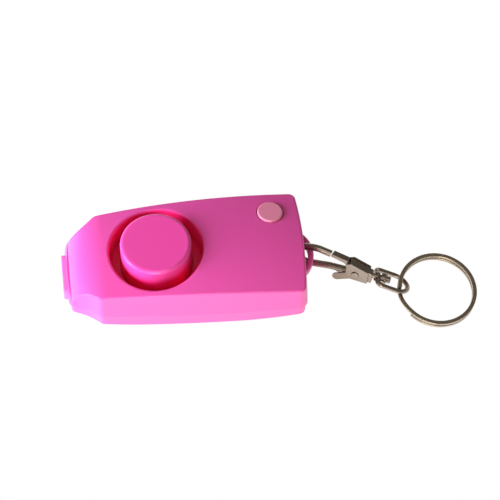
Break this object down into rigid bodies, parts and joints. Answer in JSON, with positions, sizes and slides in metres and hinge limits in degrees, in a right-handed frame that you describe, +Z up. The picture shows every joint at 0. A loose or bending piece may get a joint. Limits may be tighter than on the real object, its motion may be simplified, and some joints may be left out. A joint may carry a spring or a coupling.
{
  "type": "personal safety alarm",
  "caption": "Pocket personal alarm with a moulded drafted case, large press button in a well, torch, pull pin, trigger clasp and split ring.",
  "frame": {"origin": "on the floor plane under the middle of the case, at the joint of its length axis and the plane it rests on", "axes": "+X from the torch end to the pull pin and keyring end, +Z up out of the alarm button, +Y to the torch button side"},
  "size_m": [0.1287, 0.0453, 0.0219],
  "materials": {
    "case_shell": "gloss",
    "button_pink": "gloss",
    "inner_plastic": "matte",
    "board": "satin",
    "component_black": "matte",
    "coil_copper": "satin",
    "disc_brass": "satin",
    "cell_steel": "satin",
    "contact_steel": "satin",
    "screw_steel": "satin",
    "spring_steel": "satin",
    "switch_black": "matte",
    "lamp_clear": "gloss",
    "lens_clear": "gloss",
    "bezel_pink": "gloss",
    "torch_button_pink": "gloss",
    "clasp_nickel": "gloss",
    "ring_nickel": "gloss"
  },
  "bodies": {
    "case": {"upper_case": "case_shell", "lower_case": "case_shell", "case_screws": "screw_steel", "battery_door": "case_shell", "battery_door_screw": "screw_steel", "circuit_board": "board", "board_components": "component_black", "control_chip": "component_black", "siren_coil": "coil_copper", "siren_chamber": "inner_plastic", "siren_disc": "disc_brass", "battery_cells": "cell_steel", "battery_contact_bottom": "contact_steel", "battery_contact_top": "contact_steel", "torch_leds": "lamp_clear", "torch_bezel": "bezel_pink", "torch_lens": "lens_clear", "alarm_switch": "switch_black", "alarm_button_spring": "spring_steel", "torch_switch": "switch_black", "pin_contacts": "contact_steel"},
    "alarm_button": {"alarm_button": "button_pink", "alarm_switch_plunger": "switch_black"},
    "torch_button": {"torch_button": "torch_button_pink", "torch_switch_plunger": "switch_black"},
    "pull_pin": {"pull_pin": "case_shell"},
    "clasp": {"clasp_hook": "clasp_nickel", "clasp_rivet": "clasp_nickel", "clasp_gate_spring": "spring_steel", "swivel_stud": "clasp_nickel"},
    "gate": {"clasp_gate": "clasp_nickel"},
    "bail": {"swivel_bail": "clasp_nickel"},
    "ring": {"split_ring": "ring_nickel"}
  },
  "joints": [
    {"name": "alarm_press", "type": "slide", "parent": "case", "child": "alarm_button", "axis": [0, 0, -1], "range_m": [0, 0.0012], "stiffness_N_per_m": 1200, "deforming": ["alarm_button_spring"]},
    {"name": "torch_press", "type": "slide", "parent": "case", "child": "torch_button", "axis": [-0.0879, -0.113, -0.9897], "range_m": [0, 0.0006], "stiffness_N_per_m": 1500},
    {"name": "pin_pull", "type": "slide", "parent": "case", "child": "pull_pin", "axis": [1, 0, 0], "range_m": [0, 0.01]},
    {"name": "clasp_swing", "type": "hinge", "parent": "pull_pin", "child": "clasp", "pos_m": [0.0396, -0.00049, 0.0079], "axis": [0.4064, 0.8897, -0.2079], "range_deg": [-20, 20]},
    {"name": "gate_open", "type": "hinge", "parent": "clasp", "child": "gate", "pos_m": [0.05326, -0.00703, 0.00691], "axis": [-0.4064, -0.8897, 0.2079], "range_deg": [0, 20], "stiffness_Nm_per_rad": 0.02},
    {"name": "bail_turn", "type": "hinge", "parent": "clasp", "child": "bail", "pos_m": [0.05938, -0.00977, 0.00717], "axis": [0.9084, -0.4178, -0.0122], "range_deg": [-25, 45]},
    {"name": "ring_swing", "type": "hinge", "parent": "bail", "child": "ring", "pos_m": [0.06879, -0.01208, 0.00314], "axis": [0.0546, 0.916, -0.3975], "range_deg": [-10, 10]}
  ]
}
